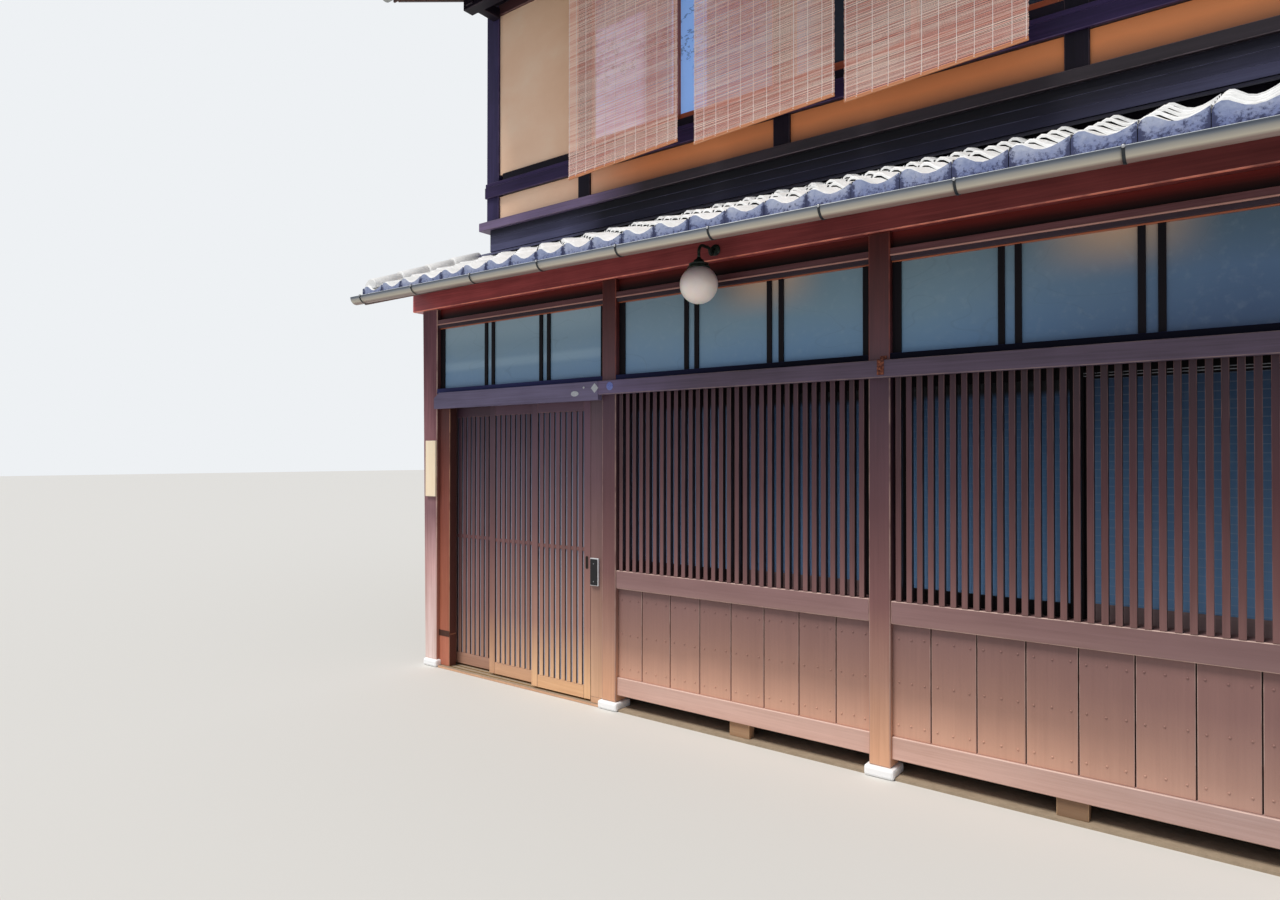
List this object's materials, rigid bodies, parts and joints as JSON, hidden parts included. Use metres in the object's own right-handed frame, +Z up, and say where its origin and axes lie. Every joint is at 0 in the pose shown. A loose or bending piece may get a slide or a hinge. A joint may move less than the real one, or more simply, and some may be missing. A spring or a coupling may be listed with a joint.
{
  "type": "machiya townhouse",
  "caption": "Two-storey wooden townhouse with a lattice front, sliding lattice door, transom windows, reed blinds and tiled roofs, between plain party walls.",
  "frame": {"origin": "on the ground, at the centre of the house's footprint", "axes": "+Y from the street into the house, +X along the front to the right as seen from the street, +Z up"},
  "size_m": [5.935, 8.853, 7.5841],
  "materials": {
    "stone": "rough dressed granite",
    "earth": "beaten earth",
    "weathered_wood": "weathered, oiled",
    "painted_wood": "matt purple-brown paint",
    "grey_wood": "weathered grey-brown",
    "red_wood": "satin red-brown stain",
    "dark_wood": "near-black stain",
    "sash_wood": "satin varnish",
    "straw_wood": "bare",
    "frosted": "frosted",
    "clear": "clear",
    "plaster": "smooth earth plaster",
    "reed": "split reed",
    "tile": "smoked grey tile",
    "gutter_paint": "semi-gloss",
    "verdigris": "dark green-black patina",
    "globe": "opal"
  },
  "bodies": {
    "house": {"stone_bases": "stone", "earth_floor": "earth", "entrance_posts": "weathered_wood", "front_posts": "painted_wood", "front_rails": "painted_wood", "sill_blocks": "straw_wood", "wainscot_boards": "painted_wood", "lattice_centre": "painted_wood", "lattice_right": "painted_wood", "upper_rail": "grey_wood", "door_frame": "painted_wood", "door_threshold": "grey_wood", "door_plates": "straw_wood", "shop_window_frames": "dark_wood", "frosted_glass": "frosted", "transom_frames": "dark_wood", "eave_beam": "red_wood", "lower_roof_frame": "red_wood", "gutters": "gutter_paint", "lamp_bracket": "verdigris", "lamp_globe": "globe", "upper_posts": "dark_wood", "upper_front_boards": "dark_wood", "plaster_panels": "plaster", "upper_window_frames": "sash_wood", "upper_glass": "clear", "reed_blinds": "reed", "upper_floor": "straw_wood", "party_walls": "dark_wood", "low_side_walls": "dark_wood", "rear_posts": "dark_wood", "rear_wall": "plaster", "rear_window_frames": "dark_wood", "outer_beams": "dark_wood", "main_roof_frames": "dark_wood", "roof_tiles": "tile", "eave_tiles": "tile", "ridge_tiles": "tile", "verge_tiles": "tile"},
    "leaf_left": {"door_leaf_left": "painted_wood", "door_glass_left": "frosted"},
    "leaf_middle": {"door_leaf_middle": "painted_wood", "door_glass_middle": "frosted"},
    "leaf_right": {"door_leaf_right": "painted_wood", "door_glass_right": "frosted"}
  },
  "joints": [
    {"name": "left_leaf_slide", "type": "slide", "parent": "house", "child": "leaf_left", "axis": [1, 0, 0], "range_m": [0, 0.992]},
    {"name": "middle_leaf_slide", "type": "slide", "parent": "house", "child": "leaf_middle", "axis": [1, 0, 0], "range_m": [-0.4, 0.496]},
    {"name": "right_leaf_slide", "type": "slide", "parent": "house", "child": "leaf_right", "axis": [1, 0, 0], "range_m": [-0.896, 0]}
  ]
}
